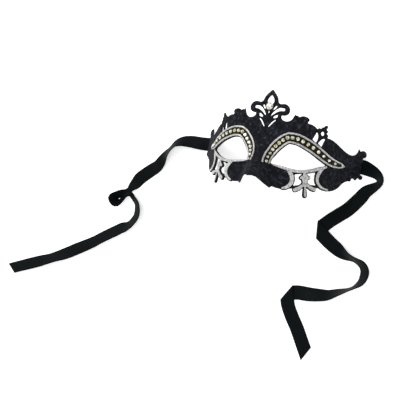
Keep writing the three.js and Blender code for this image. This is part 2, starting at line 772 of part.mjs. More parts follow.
// Ribbons. Each is one strip in runs that meet at folds; a run's rows follow its middle line.
// Columns: across and up in ribbon widths, lean in degrees (above zero lifts the edge on the
// left of the way it runs), lift off the surface in millimetres, share of the full width
const LEFT_RIBBON = [
  [
    [-5.95, -0.40, 0, 0, 1],
    [-6.50, -0.42, 12, 0, 1],
    [-7.30, -0.40, 18, 0, 1],
    [-8.00, -0.50, 32, 0, 1],
    [-8.45, -0.75, 44, 0, 1],
    [-8.75, -1.15, 56, 0, 1],
    [-9.00, -1.50, 46, 0, 1],
    [-9.20, -1.80, 32, 0, 1],
    [-9.45, -2.20, 12, 0, 1],
    [-9.75, -2.65, 6, 0, 1],
    [-10.20, -3.05, -8, 0, 1],
    [-11.00, -3.80, -12, 0, 1],
    [-11.35, -4.25, -4, 0, 1],
    [-11.65, -4.60, 8, 0, 0.75],
    [-11.90, -4.95, 0, 0, 0.3],
    [-12.45, -5.30, -55, 0, 0.75],
    [-12.95, -5.70, -55, 0, 0.85],
    [-12.40, -6.05, -50, 0, 1],
    [-12.10, -5.65, -40, 1, 0.85],
    [-11.95, -5.30, -20, 2, 0.35],
    [-11.60, -5.15, 0, 2.2, 0.3],
    [-11.15, -5.45, 50, 0, 0.7],
    [-10.75, -5.85, 40, 0, 1],
    [-10.60, -6.50, 36, 0, 1],
    [-10.65, -6.85, 34, 0, 1],
    [-10.80, -7.15, 37, 0, 1],
    [-11.00, -7.45, 38, 0, 1],
    [-11.35, -7.75, 36, 0, 1],
    [-11.75, -7.90, 18, 0, 1],
    [-12.30, -8.25, 20, 0, 1],
    [-13.35, -8.95, 20, 0, 1],
    [-14.05, -9.45, 18, 0, 1],
    [-15.60, -10.35, 6, 0, 1],
    [-16.35, -10.80, 8, 0, 1],
    [-17.20, -11.25, 28, 0, 1],
    [-18.00, -11.65, 28, 0, 1],
    [-18.85, -12.00, 14, 0, 1],
    [-19.80, -12.40, 14, 0, 1],
    [-20.60, -12.75, 18, 0, 1],
    [-21.40, -13.10, 10, 0, 1],
  ],
];
const RIGHT_RIBBON = [
  [
    [5.80, -0.38, 4, 0, 1],
    [6.45, -0.55, 34, 0, 1],
    [6.90, -0.75, 48, 0, 1],
    [7.15, -1.00, 56, 0, 1],
    [7.20, -1.30, 55, 0, 1],
    [7.00, -1.55, 48, 0, 1],
    [6.75, -1.75, 36, 0, 1],
    [6.35, -2.05, 16, 0, 1],
    [6.00, -2.55, 8, 0, 1],
    [5.35, -3.40, 4, 0, 1],
    [4.80, -3.90, 4, 0, 1],
    [4.25, -4.40, 4, 0, 1],
    [3.55, -5.15, 0, 0, 1],
  ],
  [
    [3.55, -5.15, 0, 0, 1],
    [4.10, -5.55, 0, 1.3, 1],
    [4.60, -5.90, 8, 0, 1],
    [5.25, -6.25, 14, 0, 1],
    [5.90, -6.50, 50, 0, 1],
    [6.40, -6.65, 74, 0, 1],
    [6.85, -6.80, 58, 0, 1],
    [7.10, -6.95, 48, 0, 1],
    [7.30, -7.30, 42, 0, 1],
    [7.30, -7.70, 44, 0, 1],
    [7.20, -8.05, 54, 0, 1],
    [6.95, -8.35, 68, 0, 1],
    [6.65, -8.60, 80, 0, 1],
    [6.25, -8.85, 72, 0, 1],
    [5.75, -9.10, 58, 0, 1],
    [5.15, -9.40, 44, 0, 1],
    [4.45, -9.55, 30, 0, 1],
    [3.70, -9.65, 16, 0, 1],
    [3.00, -9.70, 2, 0, 1],
    [2.25, -9.90, 0, 0, 1],
  ],
  [
    [2.25, -9.90, 0, 0, 1],
    [2.40, -10.50, 0, 1.3, 1],
    [2.50, -10.80, 0, 0, 1],
    [2.90, -11.45, 0, 0, 1],
    [3.40, -12.15, 0, 0, 1],
    [3.95, -13.05, 0, 0, 1],
    [4.35, -13.70, 0, 0, 1],
  ],
];
const LEFT_END_CUT = -35;   // degrees by which each ribbon's end is cut off aslant
const RIGHT_END_CUT = -31;
const RIBBON_STEP = 6;
const LIE = 0.3;            // how far a ribbon's lowest edge is off the surface
const half = { wide: RIBBON_WIDE / 2, thick: RIBBON_THICK / 2, edge: 0.4 };

function stationOf([x, y, lean, lift, share]) {
  const angle = THREE.MathUtils.degToRad(lean);
  const tall = Math.abs(Math.cos(angle)) * half.thick + Math.abs(Math.sin(angle)) * half.wide * share;
  return { point: new THREE.Vector3(x * RIBBON_WIDE, y * RIBBON_WIDE, LIE + tall + lift), angle, share };
}

// Glued stations on the back of the temple, from the tail's end to the temple's edge
function tailStations(side) {
  const out = -PLATE - GAP - half.thick;
  const edge = SPREAD - RECESS;
  return [edge - RIBBON_TAIL, edge - RIBBON_TAIL / 2, edge - GAP, edge + 1].map((across) => (
    { point: place(side * across, RIBBON_UP, out), angle: 0, share: 1 }));
}

// One cross-section: its centre and its half width and half thickness as vectors
function sectionAt(curve, stations, distance, flip) {
  const t = curve.getUtoTmapping(0, distance);
  const centre = curve.getPoint(t);
  const along = curve.getTangent(t);
  const passed = t * (stations.length - 1);
  const before = Math.min(Math.floor(passed), stations.length - 2);
  const mix = (key) => (
    THREE.MathUtils.lerp(stations[before][key], stations[before + 1][key], passed - before));
  const left = UP.clone().cross(along).normalize();
  const above = along.clone().cross(left);
  const angle = mix("angle");
  const wide = left.clone().multiplyScalar(Math.cos(angle)).addScaledVector(above, Math.sin(angle));
  const thick = above.clone().multiplyScalar(Math.cos(angle)).addScaledVector(left, -Math.sin(angle));
  return {
    centre,
    wide: wide.multiplyScalar(flip * half.wide * mix("share")),
    thick: thick.multiplyScalar(flip * half.thick),
  };
}

const flatWay = (from, to) => to.clone().sub(from).setZ(0).normalize();

// Where two runs meet: a crease, then the ribbon comes back on top of itself, turned over
function foldSections(before, at, after, flip) {
  const way = flatWay(before, at);
  const crease = way.clone().add(flatWay(at, after)).normalize();
  const left = UP.clone().cross(way);
  if (crease.dot(left) < 0) crease.negate();
  const outwards = way.clone().addScaledVector(crease, -way.dot(crease)).normalize();
  const wide = crease.clone().multiplyScalar((flip * half.wide) / crease.dot(left));
  const rise = RIBBON_THICK + GAP;
  const low = at.clone().setZ(LIE + half.thick);
  return [
    { centre: low, wide, thick: UP.clone().multiplyScalar(flip * half.thick) },
    { centre: low.clone().addScaledVector(UP, rise / 2).addScaledVector(outwards, rise / 2), wide,
      thick: outwards.clone().multiplyScalar(-flip * half.thick) },
    { centre: low.clone().addScaledVector(UP, rise), wide,
      thick: UP.clone().multiplyScalar(-flip * half.thick) },
  ];
}

const FOLD_CLEAR = 9;       // plain sections keep this far from a fold's middle
function ribbonSections(runs, side, endCut) {
  const sections = [];
  let flip = 1;
  runs.forEach((rows, r) => {
    const floorStations = rows.map(stationOf);
    const stations = r === 0 ? [...tailStations(side), ...floorStations] : floorStations;
    const curve = splineOf(stations.map(({ point }) => point));
    const length = curve.getLength();
    const last = r === runs.length - 1;
    const slant = half.wide * Math.tan(THREE.MathUtils.degToRad(endCut));
    const from = r === 0 ? 0 : FOLD_CLEAR;
    const to = length - (last ? Math.abs(slant) : FOLD_CLEAR);
    const steps = Math.round((to - from) / RIBBON_STEP);
    for (let i = 0; i <= steps; i += 1) {
      sections.push(sectionAt(curve, stations, from + ((to - from) * i) / steps, flip));
    }
    if (!last) {
      const [before, at] = stations.slice(-2).map(({ point }) => point);
      const next = stationOf(runs[r + 1][1]).point;
      sections.push(...foldSections(before, at, next, flip));
      flip = -flip;
    } else {
      const end = sectionAt(curve, stations, length, flip);
      const along = curve.getTangent(1);
      end.wide.addScaledVector(along, flip * slant);
      sections.push(end);
    }
  });
  return sections;
}

function ribbonBody(sections) {
  const corners = ({ centre, wide, thick }) => {
    const inner = 1 - half.edge / wide.length();
    return [[1, 0], [inner, 1], [-inner, 1], [-1, 0], [-inner, -1], [inner, -1]].map(([w, t]) => (
      centre.clone().addScaledVector(wide, w).addScaledVector(thick, t)));
  };
  const rings = sections.map(corners);
  const around = rings[0].length;
  const faces = [];
  for (let r = 0; r < rings.length - 1; r += 1) {
    for (let k = 0; k < around; k += 1) {
      const a = r * around + k;
      const b = r * around + ((k + 1) % around);
      faces.push(a, b, a + around, b, b + around, a + around);
    }
  }
  const end = (rings.length - 1) * around;
  for (let k = 1; k < around - 1; k += 1) {
    faces.push(0, k + 1, k, end, end + k, end + k + 1);
  }
  const numbers = rings.flat().flatMap((point) => point.toArray());
  const geometry = new THREE.BufferGeometry();
  geometry.setAttribute("position", new THREE.Float32BufferAttribute(numbers, 3));
  geometry.setIndex(faces);
  return geometry;
}

// The assembly
const mask = new THREE.Group();
function addPiece(name, geometry, colours) {
  const mesh = new THREE.Mesh(geometry, new THREE.MeshStandardMaterial(colours));
  mesh.name = name;
  mask.add(mesh);
}

addPiece("mask_shell", makePlate(), COLOURS.plate);
for (const [word, side] of [["left", -1], ["right", 1]]) {
  addPiece(`stone_bed_${word}`, makeBed(side), COLOURS.bed);
  addPiece(`brow_trim_${word}`, makeTrim(side), COLOURS.silver);
  addPiece(`eye_filigree_${word}`, makeSilver(side), COLOURS.silver);
  stoneShares().forEach((share, i) => {
    const { x, y } = brow.at(share);
    const small = i < STONE_ENDS || i >= STONE_COUNT - STONE_ENDS;
    const stone = makeStone(small ? STONE_SMALL : STONE_WIDE, STONE_TALL, STONE_FACETS);
    const number = String(i + 1).padStart(2, "0");
    const seated = stoneAt(stone, side * x, y, 2 * GAP + BED_THICK);
    addPiece(`brow_stone_${word}_${number}`, seated, COLOURS.stone);
  });
}
const crestStone = makeStone(CREST_STONE_WIDE, CREST_STONE_TALL, STONE_FACETS);
addPiece("crest_stone", stoneAt(crestStone, 0, CREST_STONE_UP, GAP), COLOURS.stone);
addPiece("ribbon_left", ribbonBody(ribbonSections(LEFT_RIBBON, -1, LEFT_END_CUT)), COLOURS.ribbon);
addPiece("ribbon_right", ribbonBody(ribbonSections(RIGHT_RIBBON, 1, RIGHT_END_CUT)), COLOURS.ribbon);

export default mask;
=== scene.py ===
# %% [markdown]
# A venetian half mask with its ribbons
#
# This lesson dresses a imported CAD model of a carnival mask: a thin flocked plate that is
# pierced like filigree, silver glitter lines, two rows of small cut stones, a stone in the
# crest and two satin ribbons. The CAD gives every place and size, and Blender adds the
# surfaces. All lengths are in metres, +Z is up, and +Y points from the nose to the crest.

# %% Load the frame
import math

import bpy
import numpy as np
from mathutils import Matrix, Vector


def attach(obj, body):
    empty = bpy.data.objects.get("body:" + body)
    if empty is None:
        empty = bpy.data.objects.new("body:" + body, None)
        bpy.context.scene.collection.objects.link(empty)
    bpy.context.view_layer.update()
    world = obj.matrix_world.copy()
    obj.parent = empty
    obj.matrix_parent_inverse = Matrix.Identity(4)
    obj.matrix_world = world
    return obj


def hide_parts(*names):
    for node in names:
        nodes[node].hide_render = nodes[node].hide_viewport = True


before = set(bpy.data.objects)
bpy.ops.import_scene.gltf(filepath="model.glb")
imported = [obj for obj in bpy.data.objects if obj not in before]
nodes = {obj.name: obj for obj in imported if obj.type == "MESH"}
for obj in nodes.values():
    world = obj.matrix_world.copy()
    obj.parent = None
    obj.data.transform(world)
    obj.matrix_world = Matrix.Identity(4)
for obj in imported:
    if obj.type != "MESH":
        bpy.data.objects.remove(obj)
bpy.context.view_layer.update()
print("CAD nodes:", len(nodes))

# %% [markdown]
# The camera comes first, because everything is judged from where the photographer stood.
# A camera is a place, a point that it looks at and a direction that is up in the picture.
# The photo is square, and its focal length is stated for a sensor 36 mm wide.

# %% Camera
CAMERA_AT = Vector((0.2409, -0.0837, 0.7274))
CAMERA_AIM = Vector((-0.0859, -0.0692, 0.0))
PHOTO_UP = Vector((-0.167, 0.981, 0.095))
LENS_MM = 63.87


def add_camera():
    bpy.ops.object.camera_add()
    camera = bpy.context.object
    camera.name = "photo_camera"
    back = (CAMERA_AT - CAMERA_AIM).normalized()
    right = PHOTO_UP.cross(back).normalized()
    turn = Matrix((right, back.cross(right), back)).transposed()
    camera.matrix_world = Matrix.Translation(CAMERA_AT) @ turn.to_4x4()
    camera.data.sensor_width = 36
    camera.data.lens = LENS_MM
    bpy.context.scene.camera = camera
    return camera


camera = add_camera()
print("Camera height:", round(camera.location.z, 3))

# %% [markdown]
# A ribbon is a flat strip, so its route needs more than a line: at each station it also
# has a lean, which is how far the strip is rolled about its own direction. The stations
# below follow the photo from the temple to the free end, in ribbon widths, as they do in
# the CAD. Where the ribbon is folded back over itself, one run ends and the next begins.

# %% Ribbon sizes and routes
RIBBON_WIDE = 0.015
RIBBON_THICK = 0.001
LIE = 0.0003
FOLD_GAP = 0.0003

# Behind the temple: across and height, in ribbon widths
TAIL = [
    (4.95, 1.137),
    (5.28, 0.638),
    (5.60, 0.158),
    (5.65, 0.084),
]
TAIL_UP = -0.381

# Columns: across and up in ribbon widths, lean in degrees, lift in millimetres, share of
# the full width
LEFT_RUNS = [
    [
        (-5.95, -0.40, 0, 0, 1),
        (-6.50, -0.42, 12, 0, 1),
        (-7.30, -0.40, 18, 0, 1),
        (-8.00, -0.50, 32, 0, 1),
        (-8.45, -0.75, 44, 0, 1),
        (-8.75, -1.15, 56, 0, 1),
        (-9.00, -1.50, 46, 0, 1),
        (-9.20, -1.80, 32, 0, 1),
        (-9.45, -2.20, 12, 0, 1),
        (-9.75, -2.65, 6, 0, 1),
        (-10.20, -3.05, -8, 0, 1),
        (-11.00, -3.80, -12, 0, 1),
        (-11.35, -4.25, -4, 0, 1),
        (-11.65, -4.60, 8, 0, 0.75),
        (-11.90, -4.95, 0, 0, 0.3),
        (-12.45, -5.30, -55, 0, 0.75),
        (-12.95, -5.70, -55, 0, 0.85),
        (-12.40, -6.05, -50, 0, 1),
        (-12.10, -5.65, -40, 1, 0.85),
        (-11.95, -5.30, -20, 2, 0.35),
        (-11.60, -5.15, 0, 2.2, 0.3),
        (-11.15, -5.45, 50, 0, 0.7),
        (-10.75, -5.85, 40, 0, 1),
        (-10.60, -6.50, 36, 0, 1),
        (-10.65, -6.85, 34, 0, 1),
        (-10.80, -7.15, 37, 0, 1),
        (-11.00, -7.45, 38, 0, 1),
        (-11.35, -7.75, 36, 0, 1),
        (-11.75, -7.90, 18, 0, 1),
        (-12.30, -8.25, 20, 0, 1),
        (-13.35, -8.95, 20, 0, 1),
        (-14.05, -9.45, 18, 0, 1),
        (-15.60, -10.35, 6, 0, 1),
        (-16.35, -10.80, 8, 0, 1),
        (-17.20, -11.25, 28, 0, 1),
        (-18.00, -11.65, 28, 0, 1),
        (-18.85, -12.00, 14, 0, 1),
        (-19.80, -12.40, 14, 0, 1),
        (-20.60, -12.75, 18, 0, 1),
        (-21.40, -13.10, 10, 0, 1),
    ],
]
RIGHT_RUNS = [
    [
        (5.80, -0.38, 4, 0, 1),
        (6.45, -0.55, 34, 0, 1),
        (6.90, -0.75, 48, 0, 1),
        (7.15, -1.00, 56, 0, 1),
        (7.20, -1.30, 55, 0, 1),
        (7.00, -1.55, 48, 0, 1),
        (6.75, -1.75, 36, 0, 1),
        (6.35, -2.05, 16, 0, 1),
        (6.00, -2.55, 8, 0, 1),
        (5.35, -3.40, 4, 0, 1),
        (4.80, -3.90, 4, 0, 1),
        (4.25, -4.40, 4, 0, 1),
        (3.55, -5.15, 0, 0, 1),
    ],
    [
        (3.55, -5.15, 0, 0, 1),
        (4.10, -5.55, 0, 1.3, 1),
        (4.60, -5.90, 8, 0, 1),
        (5.25, -6.25, 14, 0, 1),
        (5.90, -6.50, 50, 0, 1),
        (6.40, -6.65, 74, 0, 1),
        (6.85, -6.80, 58, 0, 1),
        (7.10, -6.95, 48, 0, 1),
        (7.30, -7.30, 42, 0, 1),
        (7.30, -7.70, 44, 0, 1),
        (7.20, -8.05, 54, 0, 1),
        (6.95, -8.35, 68, 0, 1),
        (6.65, -8.60, 80, 0, 1),
        (6.25, -8.85, 72, 0, 1),
        (5.75, -9.10, 58, 0, 1),
        (5.15, -9.40, 44, 0, 1),
        (4.45, -9.55, 30, 0, 1),
        (3.70, -9.65, 16, 0, 1),
        (3.00, -9.70, 2, 0, 1),
        (2.25, -9.90, 0, 0, 1),
    ],
    [
        (2.25, -9.90, 0, 0, 1),
        (2.40, -10.50, 0, 1.3, 1),
        (2.50, -10.80, 0, 0, 1),
        (2.90, -11.45, 0, 0, 1),
        (3.40, -12.15, 0, 0, 1),
        (3.95, -13.05, 0, 0, 1),
        (4.35, -13.70, 0, 0, 1),
    ],
]
LEFT_END_CUT = math.radians(-35)
RIGHT_END_CUT = math.radians(-31)
print("Stations:", sum(map(len, LEFT_RUNS)), "left and", sum(map(len, RIGHT_RUNS)), "right")


# %% [markdown]
# A strip between stations needs a smooth line. A centripetal Catmull-Rom spline passes
# through every station without loops or overshoot, however uneven their spacing is. The
# spline is sampled closely, and then again at even distances along its length.

# %% Smooth lines through stations
SAMPLES = 14


def station(across, up, lean, lift, share):
    """One row of a route as x, y, z, lean in radians and share of the width."""
    angle = math.radians(lean)
    tall = abs(math.cos(angle)) * RIBBON_THICK / 2 + abs(math.sin(angle)) * RIBBON_WIDE * share / 2
    return (across * RIBBON_WIDE, up * RIBBON_WIDE, LIE + tall + lift / 1000, angle, share)


def tail_stations(side):
    """The glued stations behind the temple on one side."""
    return [
        (side * across * RIBBON_WIDE, TAIL_UP * RIBBON_WIDE, height * RIBBON_WIDE, 0.0, 1.0)
        for across, height in TAIL]


def spline_samples(stations):
    """Close samples of x, y, z, lean and share along the stations."""
    table = np.array(stations)
    places = np.vstack([2 * table[0] - table[1], table, 2 * table[-1] - table[-2]])[:, :3]
    samples = []
    for i in range(len(table) - 1):
        before, start, end, after = places[i:i + 4]
        d0, d1, d2 = (max(math.sqrt(np.linalg.norm(b - a)), 1e-3) for a, b in
                      ((before, start), (start, end), (end, after)))
        out = d1 * ((start - before) / d0 - (end - before) / (d0 + d1) + (end - start) / d1)
        into = d1 * ((end - start) / d1 - (after - start) / (d1 + d2) + (after - end) / d2)
        for t in np.arange(SAMPLES) / SAMPLES:
            bend = 2 * (start - end) + out + into
            swing = 3 * (end - start) - 2 * out - into
            place = start + t * out + t * t * swing + t ** 3 * bend
            roll = table[i, 3:] + t * (table[i + 1, 3:] - table[i, 3:])
            samples.append(np.concatenate([place, roll]))
    samples.append(table[-1])
    return np.array(samples)


def evenly(samples, spacing, start, stop_short):
    """The samples taken again at even distances, less what is left out at both ends."""
    steps = np.linalg.norm(np.diff(samples[:, :3], axis=0), axis=1)
    along = np.concatenate([[0], np.cumsum(steps)])
    end = along[-1] - stop_short
    wanted = np.linspace(start, end, max(2, round((end - start) / spacing)))
    return np.column_stack([np.interp(wanted, along, column) for column in samples.T])


def evened(values, reach):
    """A running mean, which rounds off the corners of a line of values."""
    padded = np.pad(values, reach, mode="edge")
    window = np.ones(2 * reach + 1) / (2 * reach + 1)
    return np.convolve(padded, window, mode="valid")


# %% [markdown]
# From the line come cross-sections. Each has a centre, a vector to one edge of the strip
# and a vector through its thickness. At a fold, one section lies along the crease in the
# lower layer, one stands in the bend and one lies on top, turned over, and from there on
# the other face of the ribbon is up.

# %% Ribbon cross-sections
SECTION_SPACING = 0.0018
FOLD_CLEAR = 0.009
SMOOTHED_OVER = 3
UP = Vector((0, 0, 1))


def plain_sections(rows, flip):
    """Sections square to the line through rows of x, y, z, lean and share."""
    leans = evened(rows[:, 3], SMOOTHED_OVER)
    shares = evened(rows[:, 4], SMOOTHED_OVER)
    low = LIE + (np.abs(np.cos(leans)) * RIBBON_THICK + np.abs(np.sin(leans)) * RIBBON_WIDE * shares) / 2
    heights = np.maximum(rows[:, 2], low)
    centres = [Vector((row[0], row[1], z)) for row, z in zip(rows, heights)]
    sections = []
    for i, centre in enumerate(centres):
        ahead = centres[min(i + 1, len(centres) - 1)]
        behind = centres[max(i - 1, 0)]
        along = (ahead - behind).normalized()
        left = UP.cross(along).normalized()
        above = along.cross(left)
        wide = left * math.cos(leans[i]) + above * math.sin(leans[i])
        thick = above * math.cos(leans[i]) - left * math.sin(leans[i])
        sections.append((centre, wide * (flip * shares[i] * RIBBON_WIDE / 2), thick * flip))
    return sections


def fold_sections(before, at, after, flip):
    """Three sections that carry the ribbon round a crease and back over itself."""
    way = Vector((at[0] - before[0], at[1] - before[1], 0)).normalized()
    way_on = Vector((after[0] - at[0], after[1] - at[1], 0)).normalized()
    left = UP.cross(way)
    crease = (way + way_on).normalized()
    if crease.dot(left) < 0:
        crease = -crease
    outwards = (way - crease * way.dot(crease)).normalized()
    wide = crease * (flip * RIBBON_WIDE / 2 / crease.dot(left))
    low = Vector((at[0], at[1], LIE + RIBBON_THICK / 2))
    rise = RIBBON_THICK + FOLD_GAP
    return [
        (low, wide, UP * flip),
        (low + UP * rise / 2 + outwards * rise / 2, wide, outwards * -flip),
        (low + UP * rise, wide, UP * -flip),
    ]


def ribbon_sections(runs, side, end_cut):
    """All sections of a ribbon, from its glued tail to its free end."""
    sections = []
    flip = 1
    for number, run in enumerate(runs):
        stations = [station(*row) for row in run]
        if number == 0:
            stations = tail_stations(side) + stations
        last = number == len(runs) - 1
        slant = math.tan(end_cut) * RIBBON_WIDE / 2
        start = FOLD_CLEAR if number else 0
        stop_short = abs(slant) if last else FOLD_CLEAR
        rows = evenly(spline_samples(stations), SECTION_SPACING, start, stop_short)
        sections += plain_sections(rows, flip)
        if not last:
            onward = station(*runs[number + 1][1])
            sections += fold_sections(stations[-2], stations[-1], onward, flip)
            flip = -flip
    centre, wide, thick = sections[-1]
    along = (centre - sections[-2][0]).normalized()
    sections.append((centre + along * abs(slant), wide + along * (flip * slant), thick))
    return sections


# %% [markdown]
# The strip is skinned from its sections as a closed tube with a very flat section, thin at
# the woven edges. Its UV map runs in metres along and across the ribbon, so that the weave
# keeps its size and its direction through every twist and fold.

# %% Ribbon meshes
ACROSS = [-1.0, -0.97, -0.8, -0.4, 0.0, 0.4, 0.8, 0.97, 1.0]
EDGE_POWER = 8
SMOOTH_UNDER = math.radians(40)


def ring(centre, wide, thick):
    """The corners of one section, over the top face and back under it."""
    top = [(a, math.sqrt(max(0.0, 1 - a ** EDGE_POWER))) for a in ACROSS]
    under = [(a, -h) for a, h in reversed(top[1:-1])]
    return [centre + wide * a + thick * (h * RIBBON_THICK / 2) for a, h in top + under]


def skin_ribbon(name, sections):
    """A closed mesh through the sections, with its UV map."""
    rings = [ring(*section) for section in sections]
    around = len(rings[0])
    points = [point for corners in rings for point in corners]
    faces = [tuple(reversed(range(around)))]
    for r in range(len(rings) - 1):
        for k in range(around):
            a, b = r * around + k, r * around + (k + 1) % around
            faces.append((a, b, b + around, a + around))
    faces.append(tuple(range(len(points) - around, len(points))))
    mesh = bpy.data.meshes.new(name)
    mesh.from_pydata(points, [], faces)
    steps = [0.0] + [(b[0] - a[0]).length for a, b in zip(sections, sections[1:])]
    along = np.cumsum(steps)
    uv = mesh.uv_layers.new(name="weave")
    for loop in mesh.loops:
        r, k = divmod(loop.vertex_index, around)
        across = ACROSS[k] if k < len(ACROSS) else ACROSS[around - k]
        uv.data[loop.index].uv = (along[r], across * RIBBON_WIDE / 2)
    ribbon = bpy.data.objects.new(name, mesh)
    bpy.context.collection.objects.link(ribbon)
    return ribbon, float(along[-1])


def select_only(piece):
    bpy.ops.object.select_all(action="DESELECT")
    piece.select_set(True)
    bpy.context.view_layer.objects.active = piece


def face_outwards(piece):
    """Turns all faces outwards, and leaves object mode on again."""
    select_only(piece)
    bpy.ops.object.mode_set(mode="EDIT")
    bpy.ops.mesh.select_all(action="SELECT")
    bpy.ops.mesh.normals_make_consistent(inside=False)
    bpy.ops.object.mode_set(mode="OBJECT")


def add_ribbon(side_name, side, runs, end_cut):
    """One ribbon, made from its sections as the loose flat cord that it is."""
    sections = ribbon_sections(runs, side, end_cut)
    ribbon, length = skin_ribbon(f"satin_ribbon_{side_name}", sections)
    face_outwards(ribbon)
    bpy.ops.object.shade_smooth_by_angle(angle=SMOOTH_UNDER)
    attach(ribbon, "root")
    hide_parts(f"ribbon_{side_name}")
    print(side_name, "ribbon:", round(length, 3), "m")
    return ribbon


ribbons = [
    add_ribbon("left", -1, LEFT_RUNS, LEFT_END_CUT),
    add_ribbon("right", 1, RIGHT_RUNS, RIGHT_END_CUT),
]


# %% [markdown]
# Over each cheekbone the CAD plate has five flat panels in place of an arc. A panel lies
# under the arc by a(b - a) / 2r, where a is the way into a panel of width b and r is the
# arc's radius. Vertices are moved out by that much, so that no panel shows in the light.

# %% Round sides
FRONT_RADIUS = 0.120
FRONT_REACH = 0.025
SIDE_RADIUS = 0.057
SIDE_REACH = 0.069
SPREAD = 0.120
PLATE_THICK = 0.002
FOOT = 0.0008
SIDE_PANELS = 5


def round_sides(piece):
    """Moves what lies over a panel out on to the arc."""
    front = FRONT_REACH / FRONT_RADIUS
    turn = (SIDE_REACH - FRONT_REACH) / SIDE_RADIUS
    steep = front + turn
    middle_x = (FRONT_RADIUS - SIDE_RADIUS) * math.sin(front)
    middle_z = (FRONT_RADIUS - SIDE_RADIUS) * math.cos(front)
    temple = middle_z + SIDE_RADIUS * math.cos(steep) - (SPREAD - SIDE_REACH) * math.sin(steep)
    middle_z -= temple - PLATE_THICK * math.cos(steep) + FOOT
    panel = (SIDE_REACH - FRONT_REACH) / SIDE_PANELS
    points = np.empty(3 * len(piece.data.vertices))
    piece.data.vertices.foreach_get("co", points)
    points = points.reshape(-1, 3)
    slope = np.arctan2(np.abs(points[:, 0]) - middle_x, points[:, 2] - middle_z)
    inside = (slope > front) & (slope < steep)
    way = np.where(inside, (slope - front) / turn * SIDE_PANELS, 0) % 1
    rise = way * (1 - way) * panel ** 2 / (2 * SIDE_RADIUS)
    points[:, 0] += np.sign(points[:, 0]) * rise * np.sin(slope)
    points[:, 2] += rise * np.cos(slope)
    piece.data.vertices.foreach_set("co", points.ravel())
    piece.data.update()


# %% [markdown]
# The plate of the real mask is cut from a stiff sheet, moulded over a form and flocked, so
# every edge is soft. The CAD plate has flat facets and square edges. A copy is welded into
# one skin, turned into an even grid by a voxel remesh and relaxed, which rounds the edges
# and melts the facets into one curved surface. The same two steps turn the flat silver
# strips into the rounded lines that glitter paste makes. Most of the plate's grid is nearly
# flat, so a last step collapses its edges and keeps the faces where the surface bends.

# %% Soft copies of the CAD pieces
WELD = 0.00001
SMOOTHING = 0.5


def soft_copy(node_name, name, voxel, relax, kept=1.0):
    """A welded, remeshed and relaxed copy that stands for a CAD node.

    kept is the share of its faces that stays.
    """
    piece = bpy.data.objects.new(name, nodes[node_name].data.copy())
    piece.data.materials.clear()
    bpy.context.collection.objects.link(piece)
    select_only(piece)
    bpy.ops.object.mode_set(mode="EDIT")
    bpy.ops.mesh.select_all(action="SELECT")
    bpy.ops.mesh.remove_doubles(threshold=WELD)
    bpy.ops.object.mode_set(mode="OBJECT")
    bpy.ops.object.modifier_add(type="REMESH")
    piece.modifiers[-1].mode = "VOXEL"
    piece.modifiers[-1].voxel_size = voxel
    bpy.ops.object.modifier_apply(modifier=piece.modifiers[-1].name)
    bpy.ops.object.modifier_add(type="SMOOTH")
    piece.modifiers[-1].factor = SMOOTHING
    piece.modifiers[-1].iterations = relax
    bpy.ops.object.modifier_apply(modifier=piece.modifiers[-1].name)
    round_sides(piece)
    if kept < 1:
        bpy.ops.object.modifier_add(type="DECIMATE")
        piece.modifiers[-1].ratio = kept
        bpy.ops.object.modifier_apply(modifier=piece.modifiers[-1].name)
    bpy.ops.object.shade_smooth()
    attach(piece, "root")
    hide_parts(node_name)
    print(name, len(piece.data.polygons), "faces")
    return piece


PLATE_VOXEL = 0.0004
PLATE_RELAX = 8
PLATE_KEPT = 0.32
LINE_VOXEL = 0.00028
LINE_RELAX = 5
BED_RELAX = 3

plate = soft_copy("mask_shell", "flocked_plate", PLATE_VOXEL, PLATE_RELAX, PLATE_KEPT)
silver_lines = []
beds = []
for side_name in ("left", "right"):
    beds.append(soft_copy(
        f"stone_bed_{side_name}", f"gold_bed_{side_name}", LINE_VOXEL, BED_RELAX))
    for node_name in (f"brow_trim_{side_name}", f"eye_filigree_{side_name}"):
        silver_lines.append(soft_copy(
            node_name, f"glitter_{node_name}", LINE_VOXEL, LINE_RELAX))


# %% [markdown]
# A flat-backed rhinestone has a round girdle, a crown of small triangular facets and a flat
# table. One is modelled with edit-mode operators from a cylinder with sixteen sides: its
# top is extruded, drawn in to the table and turned by half a facet, so that the band
# between them twists into triangles. It is one unit wide and one unit tall.

# %% One cut stone
STONE_SIDES = 16
GIRDLE = 0.28
TABLE_SHARE = 0.56
FACES_UP = 0.9


def select_faces(mesh, wanted):
    """In object mode, selects the faces for which wanted(face) is true."""
    for part in (mesh.vertices, mesh.edges, mesh.polygons):
        part.foreach_set("select", [False] * len(part))
    for face in mesh.polygons:
        face.select = wanted(face)


def model_stone():
    bpy.ops.object.select_all(action="DESELECT")
    bpy.ops.mesh.primitive_cylinder_add(
        vertices=STONE_SIDES, radius=0.5, depth=GIRDLE, location=(0, 0, GIRDLE / 2))
    stone = bpy.context.object
    stone.name = "rhinestone"
    bpy.ops.object.transform_apply(location=True, rotation=False, scale=False)
    select_faces(stone.data, lambda face: face.normal.z > FACES_UP)
    bpy.ops.object.mode_set(mode="EDIT")
    bpy.ops.mesh.select_mode(type="FACE")
    bpy.ops.mesh.extrude_region_move(TRANSFORM_OT_translate={"value": (0, 0, 1 - GIRDLE)})
    bpy.ops.transform.resize(value=(TABLE_SHARE, TABLE_SHARE, 1), center_override=(0, 0, 1))
    bpy.ops.transform.rotate(value=math.pi / STONE_SIDES, orient_axis="Z", center_override=(0, 0, 1))
    bpy.ops.mesh.select_all(action="SELECT")
    bpy.ops.mesh.quads_convert_to_tris(quad_method="SHORTEST_DIAGONAL")
    bpy.ops.object.mode_set(mode="OBJECT")
    bpy.ops.object.shade_flat()
    return stone


stone_model = model_stone()
print("Stone facets:", len(stone_model.data.polygons))


